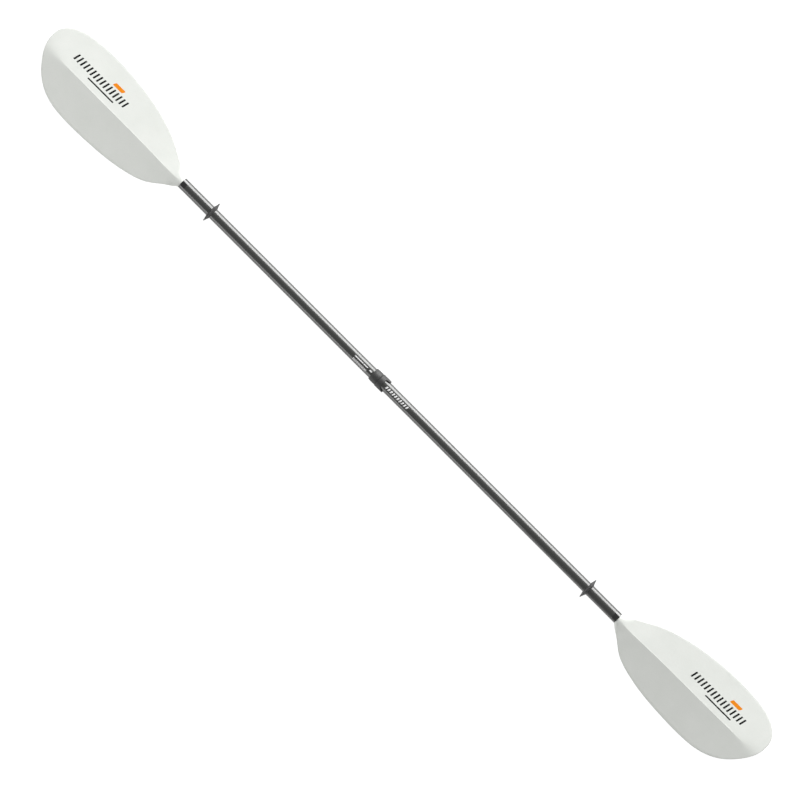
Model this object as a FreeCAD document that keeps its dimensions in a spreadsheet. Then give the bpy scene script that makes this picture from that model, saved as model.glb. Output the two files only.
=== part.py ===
import FreeCAD, Part
import os
import re

import Sketcher
from FreeCAD import Vector

# Two-piece kayak paddle, lying power face up. +X runs along the shaft from the left blade to the
# right blade, +Y points to the blades' long edges, +Z is up. The origin is on the surface that the
# paddle lies on, under the middle of its length. Every body is drawn about the shaft's own axis
# and then lifted by axis_height. All sizes are millimetres.
DIMENSIONS = {
    # the whole paddle
    "half_length": 1200.0,
    "axis_height": 28.0,
    # shaft tubes
    "shaft_radius": 14.3,
    "bore_radius": 12.7,
    "shoulder_station": 733.0,
    "band_length": 14.0,
    "band_thickness": 0.15,
    "plug_length": 30.0,
    # blades
    "blank_half_width": 112.0,
    "blank_overrun": 6.0,
    "cut_margin": 1.0,
    "sheet_thickness": 2.4,
    "rib_half_width": 3.0,
    "neck_radius": 13.3,
    "neck_length": 58.0,
    "neck_end_radius": 5.0,
    "tang_length": 70.0,
    "tang_bore_radius": 9.6,
    "tang_floor": 10.0,
    # drip rings
    "ring_station": 633.0,
    "ring_radius": 28.0,
    "ring_clearance": 0.05,
    "hub_half_width": 4.75,
    "lip_half_width": 0.75,
    "lip_offset": 0.9,
    "lip_round": 0.6,
    "hub_edge": 0.8,
    # ferrule: the tenon is bonded in the left tube and slides in the right one
    "mouth_station": 70.9,
    "tenon_radius": 12.65,
    "tenon_bore_radius": 10.5,
    "tenon_root": 150.0,
    "tenon_reach": 71.0,
    "tenon_chamfer": 1.0,
    "cap_length": 9.0,
    "cap_flange": 2.0,
    "socket_plug_station": 82.0,
    # feather collar, which turns on the tenon
    "collar_radius": 17.1,
    "collar_left": 91.5,
    "collar_right": 70.95,
    "collar_round": 2.0,
    "skirt_radius": 14.6,
    "left_tube_end": 89.0,
    "web_right": 78.6,
    "counterbore_radius": 14.3,
    "running_clearance": 0.06,
    # index ring and the click spring that drops into its notches
    "notch_count": 24,
    "index_right": 86.7,
    "notch_radius": 0.95,
    "web_gap": 0.1,
    "click_seat_radius": 15.65,
    "click_thickness": 0.3,
    "click_bow": 0.7,
    "click_half_length": 4.0,
    "click_foot": 0.8,
    "click_bend": 1.1,
    "click_bump_half": 1.1,
    "click_bump_height": 1.0,
    "click_tip_half": 0.25,
    "click_end_gap": 0.2,
    # retaining ring and spring washer
    "retainer_left": 77.2,
    "retainer_width": 1.2,
    "retainer_inner_radius": 12.05,
    "retainer_outer_radius": 14.0,
    "retainer_gap": 4.0,
    "washer_thickness": 0.5,
    "washer_inner_radius": 12.85,
    "washer_outer_radius": 14.1,
    # socket collar, bonded on the right tube
    "socket_radius": 17.8,
    "socket_length": 26.5,
    "socket_round": 1.3,
    "scallop_depth": 12.4,
    "scallop_long_side": 13.0,
    "scallop_short_side": 16.2,
    "scallop_corner": 2.5,
    "scallop_sweep": 9.0,
    "scallop_sweep_length": 7.0,
    "key_length": 6.0,
    "key_half_width": 3.0,
    "key_inner": 14.45,
    "key_outer": 16.8,
    "key_clearance": 0.2,
    # lock button, its spring and the window that it stands in
    "button_inset": 12.0,
    "button_radius": 4.0,
    "button_clearance": 0.06,
    "button_top": 19.0,
    "button_round": 1.2,
    "button_base": 8.0,
    "flange_radius": 5.0,
    "flange_thickness": 1.0,
    "window_half_width": 4.4,
    "window_angle": 159.0,
    "spring_thickness": 0.7,
    "spring_half_width": 3.5,
    "spring_length": 46.0,
    "spring_top": 9.2,
    "spring_overhang": 4.5,
    "fold_length": 8.0,
    "fold_shoulder": 6.0,
    "fold_round": 3.5,
    "fold_inner_shoulder": 5.4,
    "fold_inner_round": 4.0,
    "fold_start": 0.3,
}

# The blade's cross-sections: distance from the shoulder, height of the power face's crest above the
# shaft axis, slope of the two faces away from it, depth of the spine, half width of the rib's root.
BLADE_SECTIONS = [
    (0.0, 12.6, 0.46, 25.0, 12.0),
    (18.0, 11.9, 0.23, 23.5, 12.0),
    (45.0, 9.9, 0.165, 20.0, 12.0),
    (85.0, 6.2, 0.148, 16.5, 11.5),
    (140.0, 1.4, 0.14, 12.5, 10.5),
    (205.0, -2.8, 0.137, 9.5, 9.5),
    (275.0, -5.0, 0.137, 7.4, 8.5),
    (345.0, -4.6, 0.137, 5.6, 7.0),
    (415.0, -1.6, 0.137, 4.4, 5.5),
    (473.0, 2.2, 0.137, 3.6, 4.5),
]

# The blade's outline, from the short edge's root round the tip to the long edge's root:
# distance from the shoulder, and distance from the axis towards the long edge.
BLADE_OUTLINE = [
    (0.0, -13.6),
    (8.0, -20.5),
    (25.0, -32.0),
    (63.0, -59.5),
    (101.0, -74.0),
    (158.0, -85.5),
    (235.0, -92.0),
    (310.0, -92.8),
    (367.0, -84.5),
    (406.0, -66.0),
    (444.0, -28.0),
    (463.5, 8.0),
    (467.0, 31.0),
    (463.0, 54.5),
    (444.0, 75.6),
    (406.0, 91.7),
    (355.0, 99.0),
    (300.0, 99.8),
    (215.0, 92.5),
    (139.0, 77.0),
    (82.0, 56.0),
    (25.0, 25.5),
    (0.0, 13.6),
]

doc = FreeCAD.newDocument("KayakPaddle")
sheet = doc.addObject("Spreadsheet::Sheet", "Dims")


def section_cells():
    """Name the cells that hold the blade's cross-sections."""
    cells = {}
    names = ("station", "crest", "slope", "spine", "rib")
    for number, row in enumerate(BLADE_SECTIONS):
        for name, size in zip(names, row):
            cells[f"{name}_cell_{number}"] = size
    return cells


def outline_cells():
    """Name the cells that hold the points of the blade's outline."""
    cells = {}
    for number, (along, across) in enumerate(BLADE_OUTLINE):
        cells[f"along_cell_{number}"] = along
        cells[f"across_cell_{number}"] = across
    return cells


CELLS = {**DIMENSIONS, **section_cells(), **outline_cells()}


def fill_sheet():
    """Write each dimension into the sheet beside its name."""
    for row, (name, size) in enumerate(CELLS.items(), start=1):
        sheet.set(f"A{row}", name)
        sheet.set(f"B{row}", str(size))
        sheet.setAlias(f"B{row}", name)
    doc.recompute()


def formula(text):
    """Turn a formula in the sheet's names into a FreeCAD expression."""
    return re.sub(r"[a-z]\w*", lambda word: f"Dims.{word[0]}" if word[0] in CELLS else word[0], text)


def size_of(text):
    """Work a formula out from the sheet."""
    return float(sheet.evalExpression(formula(text)))


def bind(item, prop, text):
    """Bind a property to a formula in the sheet's names."""
    item.setExpression(prop, formula(text))


def new_body(label):
    """Start a sub-part whose own X axis is the shaft's axis."""
    body = doc.addObject("PartDesign::Body", label)
    body.Label = label
    bind(body, "Placement.Base.z", "axis_height")
    return body


def new_sketch(body, name, role, offset=None):
    """Attach a sketch to one of the body's own planes, moved along its normal by offset."""
    sketch = body.newObject("Sketcher::SketchObject", name)
    plane = next(item for item in body.Origin.OriginFeatures if item.Role == role)
    sketch.AttachmentSupport = [(plane, "")]
    sketch.MapMode = "FlatFace"
    if offset:
        bind(sketch, "AttachmentOffset.Base.z", offset)
    return sketch


def pin_point(sketch, edge, end, across, up):
    """Bind one end of a sketch edge to a place given by two formulas."""
    for kind, text in (("DistanceX", across), ("DistanceY", up)):
        number = sketch.addConstraint(Sketcher.Constraint(kind, -1, 1, edge, end, size_of(text)))
        bind(sketch, f"Constraints[{number}]", text)


def add_polygon(sketch, corners):
    """Draw a closed outline whose corners are pairs of formulas."""
    points = [Vector(size_of(across), size_of(up), 0) for across, up in corners]
    count = len(points)
    first = sketch.GeometryCount
    for number, point in enumerate(points):
        sketch.addGeometry(Part.LineSegment(point, points[(number + 1) % count]), False)
    for number in range(count):
        following = first + (number + 1) % count
        sketch.addConstraint(Sketcher.Constraint("Coincident", first + number, 2, following, 1))
    for number, (across, up) in enumerate(corners):
        pin_point(sketch, first + number, 1, across, up)


def add_circle(sketch, across, up, radius):
    """Draw a circle placed and sized by formulas."""
    centre = Vector(size_of(across), size_of(up), 0)
    circle = sketch.addGeometry(Part.Circle(centre, Vector(0, 0, 1), size_of(radius)), False)
    pin_point(sketch, circle, 3, across, up)
    number = sketch.addConstraint(Sketcher.Constraint("Radius", circle, size_of(radius)))
    bind(sketch, f"Constraints[{number}]", radius)


def rectangle(low_across, high_across, low_up, high_up):
    """Give the four corners of a rectangle as pairs of formulas."""
    return [
        (low_across, low_up),
        (high_across, low_up),
        (high_across, high_up),
        (low_across, high_up),
    ]


def revolve(body, corners, axis="H_Axis"):
    """Turn an outline in the XZ plane about the sketch's own axis."""
    sketch = new_sketch(body, f"{body.Label}_profile", "XZ_Plane")
    add_polygon(sketch, corners)
    turned = body.newObject("PartDesign::Revolution", f"{body.Label}_turned")
    turned.Profile = sketch
    turned.ReferenceAxis = (sketch, [axis])
    turned.Angle = 360
    doc.recompute()
    return turned


def turned_part(label, corners):
    """Make a sub-part that is round about the shaft's axis."""
    body = new_body(label)
    revolve(body, corners)
    return body


def pad(body, sketch, length, reverse=False, both_ways=False):
    """Thicken a sketch into the body."""
    feature = body.newObject("PartDesign::Pad", f"{sketch.Label}_pad")
    feature.Profile = sketch
    bind(feature, "Length", length)
    feature.Reversed = reverse
    feature.Midplane = both_ways
    doc.recompute()
    return feature


def pocket(body, sketch, length, reverse=False, both_ways=False):
    """Cut a sketch out of the body, and make sure that it removed something."""
    before = body.Shape.Volume
    feature = body.newObject("PartDesign::Pocket", f"{sketch.Label}_pocket")
    feature.Profile = sketch
    bind(feature, "Length", length)
    feature.Reversed = reverse
    feature.Midplane = both_ways
    doc.recompute()
    if body.Shape.Volume >= before:
        raise RuntimeError(f"{feature.Label} cuts nothing")
    return feature


def polar_pattern(body, feature, count):
    """Repeat a feature round the shaft's axis."""
    pattern = body.newObject("PartDesign::PolarPattern", f"{feature.Label}_pattern")
    pattern.Originals = [feature]
    axis = next(item for item in body.Origin.OriginFeatures if item.Role == "X_Axis")
    pattern.Axis = (axis, [""])
    pattern.Angle = 360
    bind(pattern, "Occurrences", count)
    body.Tip = pattern
    doc.recompute()
    return pattern


def round_edges(body, places, radius):
    """Round the circular edges about the shaft's axis at the given (station, radius) formulas."""
    base = body.Tip
    wanted = [(size_of(station), size_of(edge_radius)) for station, edge_radius in places]
    names = []
    for number, edge in enumerate(base.Shape.Edges, start=1):
        if not isinstance(edge.Curve, Part.Circle):
            continue
        for station, edge_radius in wanted:
            near = abs(edge.Curve.Center.x - station) < 0.01
            if near and abs(edge.Curve.Radius - edge_radius) < 0.01:
                names.append(f"Edge{number}")
    if not names:
        raise RuntimeError(f"{body.Label} has no edge to round")
    fillet = body.newObject("PartDesign::Fillet", f"{body.Label}_round_{len(body.Group)}")
    fillet.Base = (base, names)
    bind(fillet, "Radius", radius)
    doc.recompute()
    return fillet


# Blades


def blade_section(body, number):
    """Draw one cross-section of the blade's blank, wider than the blade."""
    sketch = new_sketch(
        body, f"section_{number}", "YZ_Plane", f"shoulder_station + station_cell_{number}"
    )
    crest = f"crest_cell_{number}"
    slope = f"slope_cell_{number}"
    rib = f"rib_cell_{number}"
    edge = f"{crest} - {slope} * blank_half_width"
    rib_root = f"{crest} - {slope} * {rib} - sheet_thickness"
    rib_foot = f"{crest} - spine_cell_{number}"
    corners = [
        ("-blank_half_width", edge),
        ("0", crest),
        ("blank_half_width", edge),
        ("blank_half_width", f"{edge} - sheet_thickness"),
        (rib, rib_root),
        ("rib_half_width", rib_foot),
        ("-rib_half_width", rib_foot),
        (f"-{rib}", rib_root),
        ("-blank_half_width", f"{edge} - sheet_thickness"),
    ]
    add_polygon(sketch, corners)
    return sketch


def add_blank(body):
    """Loft the dihedral sheet, its spoon and its rib through the cross-sections."""
    sections = [blade_section(body, number) for number in range(len(BLADE_SECTIONS))]
    loft = body.newObject("PartDesign::AdditiveLoft", "blade_blank")
    loft.Profile = sections[0]
    loft.Sections = sections[1:]
    doc.recompute()


def trim_to_outline(body):
    """Cut the blank down to the blade's outline."""
    sketch = new_sketch(body, "blade_outline", "XY_Plane")
    margin_across = "blank_half_width + blank_overrun"
    add_polygon(
        sketch,
        rectangle(
            "shoulder_station - blank_overrun",
            "half_length + 2 * blank_overrun",
            f"-({margin_across})",
            margin_across,
        ),
    )
    points = [
        Vector(size_of(f"shoulder_station + along_cell_{n}"), size_of(f"across_cell_{n}"), 0)
        for n in range(len(BLADE_OUTLINE))
    ]
    curve = Part.BSplineCurve()
    curve.interpolate(points)
    edge = sketch.addGeometry(curve, False)
    root = sketch.addGeometry(Part.LineSegment(points[-1], points[0]), False)
    sketch.addConstraint(Sketcher.Constraint("Coincident", edge, 2, root, 1))
    sketch.addConstraint(Sketcher.Constraint("Coincident", root, 2, edge, 1))
    pocket(body, sketch, "4 * blank_half_width", both_ways=True)


def add_neck_and_tang(body):
    """Add the round neck at the shoulder and the hollow tang that is bonded in the tube."""
    tang_end = "shoulder_station - tang_length"
    revolve(
        body,
        [
            (tang_end, "tang_bore_radius"),
            (tang_end, "bore_radius"),
            ("shoulder_station", "bore_radius"),
            ("shoulder_station", "neck_radius"),
            ("shoulder_station + neck_length", "neck_end_radius"),
            ("shoulder_station + neck_length", "0"),
            ("shoulder_station - tang_floor", "0"),
            ("shoulder_station - tang_floor", "tang_bore_radius"),
        ],
    )


def make_blades():
    """Make the right blade, and the left one as its mirror image."""
    right = new_body("blade_right")
    add_blank(right)
    trim_to_outline(right)
    add_neck_and_tang(right)
    left = doc.addObject("Part::Mirroring", "blade_left")
    left.Label = "blade_left"
    left.Source = right
    left.Normal = Vector(1, 0, 0)
    doc.recompute()
    return [left, right]


# Shaft tubes and what is fixed to them


def make_left_tube():
    return turned_part(
        "shaft_left",
        rectangle("-shoulder_station", "-left_tube_end", "bore_radius", "shaft_radius"),
    )


def cut_window(body, low_radius, high_radius):
    """Cut the slot that lets the lock button stand out at every feather angle."""
    before = body.Shape.Volume
    centre = "-mouth_station + button_inset"
    sketch = new_sketch(body, f"{body.Label}_window", "XZ_Plane")
    add_polygon(
        sketch,
        rectangle(
            f"{centre} - window_half_width",
            f"{centre} + window_half_width",
            f"-({high_radius})",
            f"-({low_radius})",
        ),
    )
    groove = body.newObject("PartDesign::Groove", f"{body.Label}_window_groove")
    groove.Profile = sketch
    groove.ReferenceAxis = (sketch, ["H_Axis"])
    groove.Midplane = True
    bind(groove, "Angle", "window_angle")
    doc.recompute()
    if body.Shape.Volume >= before:
        raise RuntimeError(f"the window in {body.Label} cuts nothing")


def make_right_tube():
    body = turned_part(
        "shaft_right",
        rectangle("-mouth_station", "shoulder_station", "bore_radius", "shaft_radius"),
    )
    cut_window(body, "bore_radius - cut_margin", "shaft_radius + cut_margin")
    return body


def make_end_bands():
    """Thin dark bands on the tubes' outer ends, beside the blades."""
    outer = "shaft_radius + band_thickness"
    inner_end = "shoulder_station - band_length"
    return [
        turned_part(
            "end_band_left",
            rectangle("-shoulder_station", f"-({inner_end})", "shaft_radius", outer),
        ),
        turned_part(
            "end_band_right",
            rectangle(inner_end, "shoulder_station", "shaft_radius", outer),
        ),
    ]


def make_foam_plugs():
    """Foam stoppers that keep water out of the tubes, beyond the tenon's two ends."""
    return [
        turned_part(
            "foam_plug_left",
            rectangle("-tenon_root - plug_length", "-tenon_root", "0", "bore_radius"),
        ),
        turned_part(
            "foam_plug_right",
            rectangle("socket_plug_station", "socket_plug_station + plug_length", "0", "bore_radius"),
        ),
    ]


# Drip rings


def make_drip_ring(label, station):
    """A rubber ring with a hub on the shaft and a thin lip."""
    lip = f"{station} - lip_offset"
    body = turned_part(
        label,
        [
            (f"{station} - hub_half_width", "shaft_radius + ring_clearance"),
            (f"{station} + hub_half_width", "shaft_radius + ring_clearance"),
            (f"{station} + hub_half_width", "shaft_radius + hub_edge"),
            (f"{lip} + lip_half_width", "ring_radius"),
            (f"{lip} - lip_half_width", "ring_radius"),
            (f"{station} - hub_half_width", "shaft_radius + hub_edge"),
        ],
    )
    edges = [(f"{lip} {sign} lip_half_width", "ring_radius") for sign in "+-"]
    round_edges(body, edges, "lip_round")
    return body


# Ferrule: left half


def make_tenon():
    """The tube that is bonded in the left shaft and slides into the right one."""
    groove_right = "-retainer_left + retainer_width"
    body = turned_part(
        "tenon",
        [
            ("-tenon_root", "tenon_bore_radius"),
            ("-tenon_root", "bore_radius"),
            ("-left_tube_end", "bore_radius"),
            ("-left_tube_end", "tenon_radius"),
            ("-retainer_left", "tenon_radius"),
            ("-retainer_left", "retainer_inner_radius"),
            (groove_right, "retainer_inner_radius"),
            (groove_right, "tenon_radius"),
            ("tenon_reach - tenon_chamfer", "tenon_radius"),
            ("tenon_reach", "tenon_radius - tenon_chamfer"),
            ("tenon_reach", "tenon_bore_radius"),
        ],
    )
    hole = new_sketch(body, "button_hole", "XY_Plane")
    add_circle(hole, "-mouth_station + button_inset", "0", "button_radius + button_clearance")
    pocket(body, hole, "shaft_radius")
    return body


def make_tenon_cap():
    """The plug in the tenon's free end."""
    return turned_part(
        "tenon_cap",
        [
            ("tenon_reach - cap_length", "0"),
            ("tenon_reach - cap_length", "tenon_bore_radius"),
            ("tenon_reach", "tenon_bore_radius"),
            ("tenon_reach", "tenon_radius - tenon_chamfer"),
            ("tenon_reach + cap_flange", "tenon_radius - 2 * tenon_chamfer"),
            ("tenon_reach + cap_flange", "0"),
        ],
    )


def make_index_ring():
    """The fixed ring at the end of the left tube, with a notch every 15 degrees round its rim."""
    body = turned_part(
        "index_ring",
        rectangle("-left_tube_end", "-index_right", "tenon_radius", "shaft_radius"),
    )
    notch = new_sketch(body, "index_notch", "YZ_Plane", "-index_right")
    add_circle(notch, "shaft_radius", "0", "notch_radius")
    cut = pocket(body, notch, "left_tube_end - index_right")
    polar_pattern(body, cut, "notch_count")
    return body


def make_retaining_ring():
    """The split ring in the tenon's groove that holds the feather collar on."""
    left = "-retainer_left"
    right = "-retainer_left + retainer_width"
    body = turned_part(
        "retaining_ring",
        rectangle(left, right, "retainer_inner_radius", "retainer_outer_radius"),
    )
    gap = new_sketch(body, "retainer_gap", "YZ_Plane", left)
    add_polygon(
        gap,
        rectangle("-retainer_gap / 2", "retainer_gap / 2", "0", "retainer_outer_radius + cut_margin"),
    )
    pocket(body, gap, "retainer_width", reverse=True)
    return body


def make_spring_washer():
    """The conical washer that takes up the feather collar's play."""
    left = "-web_right + web_gap / 2"
    right = "-retainer_left"
    return turned_part(
        "spring_washer",
        [
            (f"{right} - washer_thickness", "washer_inner_radius"),
            (right, "washer_inner_radius"),
            (f"{left} + washer_thickness", "washer_outer_radius"),
            (left, "washer_outer_radius"),
        ],
    )


def make_button_spring():
    """The folded leaf spring inside the tenon, behind the lock button."""
    body = new_body("button_spring")
    start = "-mouth_station + button_inset - spring_overhang"
    fold = f"{start} + spring_length"
    low = "-button_base"
    middle = "(spring_top - button_base) / 2"
    tail = f"{start} + spring_length / 3"
    sketch = new_sketch(body, "spring_profile", "XZ_Plane")
    add_polygon(
        sketch,
        [
            (start, low),
            (fold, low),
            (f"{fold} + fold_shoulder", f"{low} + fold_round"),
            (f"{fold} + fold_length", middle),
            (f"{fold} + fold_shoulder", "spring_top - fold_round"),
            (fold, "spring_top"),
            (tail, "spring_top"),
            (tail, "spring_top - spring_thickness"),
            (f"{fold} - fold_start", "spring_top - spring_thickness"),
            (f"{fold} + fold_inner_shoulder", "spring_top - fold_inner_round"),
            (f"{fold} + fold_length - spring_thickness", middle),
            (f"{fold} + fold_inner_shoulder", f"{low} + fold_inner_round"),
            (f"{fold} - fold_start", f"{low} + spring_thickness"),
            (start, f"{low} + spring_thickness"),
        ],
    )
    pad(body, sketch, "2 * spring_half_width", both_ways=True)
    return body


def make_lock_button():
    """The round button that stands out of the ferrule's underside."""
    body = new_body("lock_button")
    bind(body, "Placement.Base.x", "-mouth_station + button_inset")
    flange = "-button_base - flange_thickness"
    revolve(
        body,
        [
            ("0", "-button_base"),
            ("flange_radius", "-button_base"),
            ("flange_radius", flange),
            ("button_radius", flange),
            ("button_radius", "-button_top + button_round"),
            ("button_radius - button_round", "-button_top"),
            ("0", "-button_top"),
        ],
        axis="V_Axis",
    )
    return body


# Ferrule: feather collar and right half


def make_feather_collar():
    """The collar that turns on the tenon in steps of one notch."""
    web_left = "-index_right + web_gap"
    bore = "tenon_radius + running_clearance"
    body = turned_part(
        "feather_collar",
        [
            ("-collar_left", "skirt_radius"),
            (web_left, "skirt_radius"),
            (web_left, bore),
            ("-web_right", bore),
            ("-web_right", "counterbore_radius"),
            ("-collar_right", "counterbore_radius"),
            ("-collar_right", "collar_radius"),
            ("-collar_left", "collar_radius"),
        ],
    )
    round_edges(body, [("-collar_left", "collar_radius")], "collar_round")
    round_edges(body, [("-collar_right", "collar_radius")], "socket_round")
    key_slot = new_sketch(body, "key_slot", "YZ_Plane", "-collar_right")
    half_width = "key_half_width + key_clearance"
    add_polygon(
        key_slot,
        rectangle(
            f"-({half_width})",
            half_width,
            "-collar_radius - cut_margin",
            "-key_inner + 2 * key_clearance",
        ),
    )
    pocket(body, key_slot, "key_length - (collar_right - mouth_station) + key_clearance")
    seat = new_sketch(body, "click_seat", "YZ_Plane", web_left)
    seat_half_length = "click_half_length + click_end_gap"
    add_polygon(
        seat,
        rectangle(
            "bore_radius",
            "click_seat_radius",
            f"-({seat_half_length})",
            seat_half_length,
        ),
    )
    pocket(body, seat, "left_tube_end - index_right + web_gap")
    return body


def make_click_spring():
    """The bowed leaf in the feather collar whose bump drops into the index ring's notches."""
    body = new_body("click_spring")
    sketch = new_sketch(body, "click_profile", "YZ_Plane", "-left_tube_end + click_end_gap")
    foot = "click_half_length - click_foot"
    arch = f"{foot} - click_bend"
    face = "click_seat_radius - click_thickness"
    add_polygon(
        sketch,
        [
            ("click_seat_radius", "-click_half_length"),
            ("click_seat_radius", f"-({foot})"),
            ("click_seat_radius - click_bow", f"-({arch})"),
            ("click_seat_radius - click_bow", arch),
            ("click_seat_radius", foot),
            ("click_seat_radius", "click_half_length"),
            (face, "click_half_length"),
            (face, foot),
            (f"{face} - click_bow", arch),
            (f"{face} - click_bow", "click_bump_half"),
            (f"{face} - click_bow - click_bump_height", "click_tip_half"),
            (f"{face} - click_bow - click_bump_height", "-click_tip_half"),
            (f"{face} - click_bow", "-click_bump_half"),
            (f"{face} - click_bow", f"-({arch})"),
            (face, f"-({foot})"),
            (face, "-click_half_length"),
        ],
    )
    pad(body, sketch, "left_tube_end - index_right - 2 * click_end_gap")
    return body


def make_socket_collar():
    """The collar on the right tube's mouth, with its key, button window and scalloped end."""
    body = turned_part(
        "socket_collar",
        rectangle("-mouth_station", "-mouth_station + socket_length", "shaft_radius", "socket_radius"),
    )
    end = "-mouth_station + socket_length"
    round_edges(body, [("-mouth_station", "socket_radius")], "socket_round")
    round_edges(body, [(end, "socket_radius")], "collar_round")
    scallop = new_sketch(body, "scallop", "XY_Plane")
    floor = f"{end} - scallop_depth"
    add_polygon(
        scallop,
        [
            (floor, "-scallop_short_side + scallop_sweep"),
            (f"{floor} + scallop_sweep_length", "-scallop_short_side"),
            (f"{end} + cut_margin", "-scallop_short_side"),
            (f"{end} + cut_margin", "scallop_long_side"),
            (f"{floor} + scallop_corner", "scallop_long_side"),
            (floor, "scallop_long_side - scallop_corner"),
        ],
    )
    pocket(body, scallop, "2 * socket_radius", reverse=True)
    key = new_sketch(body, "key", "YZ_Plane", "-mouth_station")
    add_polygon(key, rectangle("-key_half_width", "key_half_width", "-key_outer", "-key_inner"))
    pad(body, key, "key_length", reverse=True)
    cut_window(body, "shaft_radius - cut_margin", "socket_radius + cut_margin")
    return body


def check_and_write(parts):
    """Stop on any failed object or faulty shape, and write one file for each sub-part."""
    doc.recompute()
    for item in doc.Objects:
        if "Invalid" in item.State or "Error" in item.State:
            raise RuntimeError(f"{item.Label} failed: {item.State}")
    os.makedirs("parts", exist_ok=True)
    for part in parts:
        if part.Shape.isNull() or not part.Shape.isValid():
            raise RuntimeError(f"{part.Label} has a faulty shape")
        part.Shape.exportStep(f"parts/{part.Label}.step")
        box = part.Shape.BoundBox
        print(
            f"{part.Label:18s} solids {len(part.Shape.Solids)} volume {part.Shape.Volume:10.0f}"
            f"  x {box.XMin:8.1f} {box.XMax:8.1f}  y {box.YMin:7.1f} {box.YMax:7.1f}"
            f"  z {box.ZMin:6.1f} {box.ZMax:6.1f}"
        )


def main():
    fill_sheet()
    parts = [
        *make_blades(),
        make_left_tube(),
        make_right_tube(),
        *make_end_bands(),
        *make_foam_plugs(),
        make_drip_ring("drip_ring_left", "-ring_station"),
        make_drip_ring("drip_ring_right", "ring_station"),
        make_tenon(),
        make_tenon_cap(),
        make_index_ring(),
        make_retaining_ring(),
        make_spring_washer(),
        make_button_spring(),
        make_lock_button(),
        make_feather_collar(),
        make_click_spring(),
        make_socket_collar(),
    ]
    check_and_write(parts)


main()
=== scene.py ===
"""Two-piece kayak paddle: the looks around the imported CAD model."""

import math

import bmesh
import bpy
import numpy as np
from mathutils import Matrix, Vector


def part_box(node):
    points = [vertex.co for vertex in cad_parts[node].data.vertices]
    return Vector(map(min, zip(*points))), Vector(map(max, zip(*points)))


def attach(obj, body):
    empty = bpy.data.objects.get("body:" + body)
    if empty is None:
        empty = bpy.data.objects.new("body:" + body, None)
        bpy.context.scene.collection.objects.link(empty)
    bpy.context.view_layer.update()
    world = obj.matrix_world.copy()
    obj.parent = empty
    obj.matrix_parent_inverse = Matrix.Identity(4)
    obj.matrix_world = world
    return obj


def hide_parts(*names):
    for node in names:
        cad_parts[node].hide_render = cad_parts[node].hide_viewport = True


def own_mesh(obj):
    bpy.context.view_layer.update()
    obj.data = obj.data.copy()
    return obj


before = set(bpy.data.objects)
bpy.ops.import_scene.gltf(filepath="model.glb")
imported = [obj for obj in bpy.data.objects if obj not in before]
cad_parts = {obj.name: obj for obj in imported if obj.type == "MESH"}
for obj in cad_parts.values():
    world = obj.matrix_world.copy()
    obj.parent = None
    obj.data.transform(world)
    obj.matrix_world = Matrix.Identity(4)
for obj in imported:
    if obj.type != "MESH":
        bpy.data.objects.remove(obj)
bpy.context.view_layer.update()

# Shapes are built in millimetres about the shaft's own axis, and become metres when a mesh is
# made. Stations run along +X, angles run from straight up towards +Y. The camera, the lights, the
# floor and the materials are in metres.
MM = 0.001
TURNS = 96


def extent(node):
    """First station, last station and half width of a CAD node."""
    low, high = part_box(node)
    return low.x / MM, high.x / MM, (high.y - low.y) / 2 / MM


AXIS = (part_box("shaft_left")[0].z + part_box("shaft_left")[1].z) / 2
TUBE_RADIUS = extent("shaft_left")[2]
BORE_RADIUS = extent("foam_plug_left")[2]
SHOULDER = extent("shaft_right")[1]


# Camera, light and floor

CAMERA_LENS = 200.0
CAMERA_SENSOR = 36.0
CAMERA_CLIP = (0.1, 200.0)
CAMERA_DISTANCE = 10.57
CAMERA_OFFSET_UP = 0.0012
CAMERA_DEGREES = 45


def make_camera():
    """Look straight down, with the paddle running from upper left to lower right."""
    data = bpy.data.cameras.new("camera")
    data.lens = CAMERA_LENS
    data.sensor_width = CAMERA_SENSOR
    data.clip_start, data.clip_end = CAMERA_CLIP
    camera = bpy.data.objects.new("camera", data)
    bpy.context.scene.collection.objects.link(camera)
    turn = math.radians(CAMERA_DEGREES)
    picture_up = Vector((-math.sin(turn), math.cos(turn), 0))
    camera.location = Vector((0, 0, AXIS + CAMERA_DISTANCE)) + picture_up * CAMERA_OFFSET_UP
    camera.rotation_euler = (0, 0, turn)
    bpy.context.scene.camera = camera


def add_softbox(name, place, aim, width, height, watts):
    """A rectangular soft light that no camera sees."""
    data = bpy.data.lights.new(name, "AREA")
    data.shape = "RECTANGLE"
    data.size = width
    data.size_y = height
    data.energy = watts
    light = bpy.data.objects.new(name, data)
    bpy.context.scene.collection.objects.link(light)
    light.location = place
    light.rotation_euler = (Vector(aim) - Vector(place)).to_track_quat("-Z", "Y").to_euler()
    light.visible_camera = False


def add_node(tree, kind, inputs=None, **settings):
    """Add a shader node, with values or other nodes' sockets as its inputs."""
    made = tree.nodes.new(kind)
    for key, value in settings.items():
        setattr(made, key, value)
    for key, value in (inputs or {}).items():
        if isinstance(value, bpy.types.NodeSocket):
            tree.links.new(value, made.inputs[key])
        else:
            made.inputs[key].default_value = value
    return made


SKY_LEVELS = ((0.0, 0.72), (0.12, 0.62), (0.45, 0.28), (1.0, 0.33))
SKY_BLUE = 1.005


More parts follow.
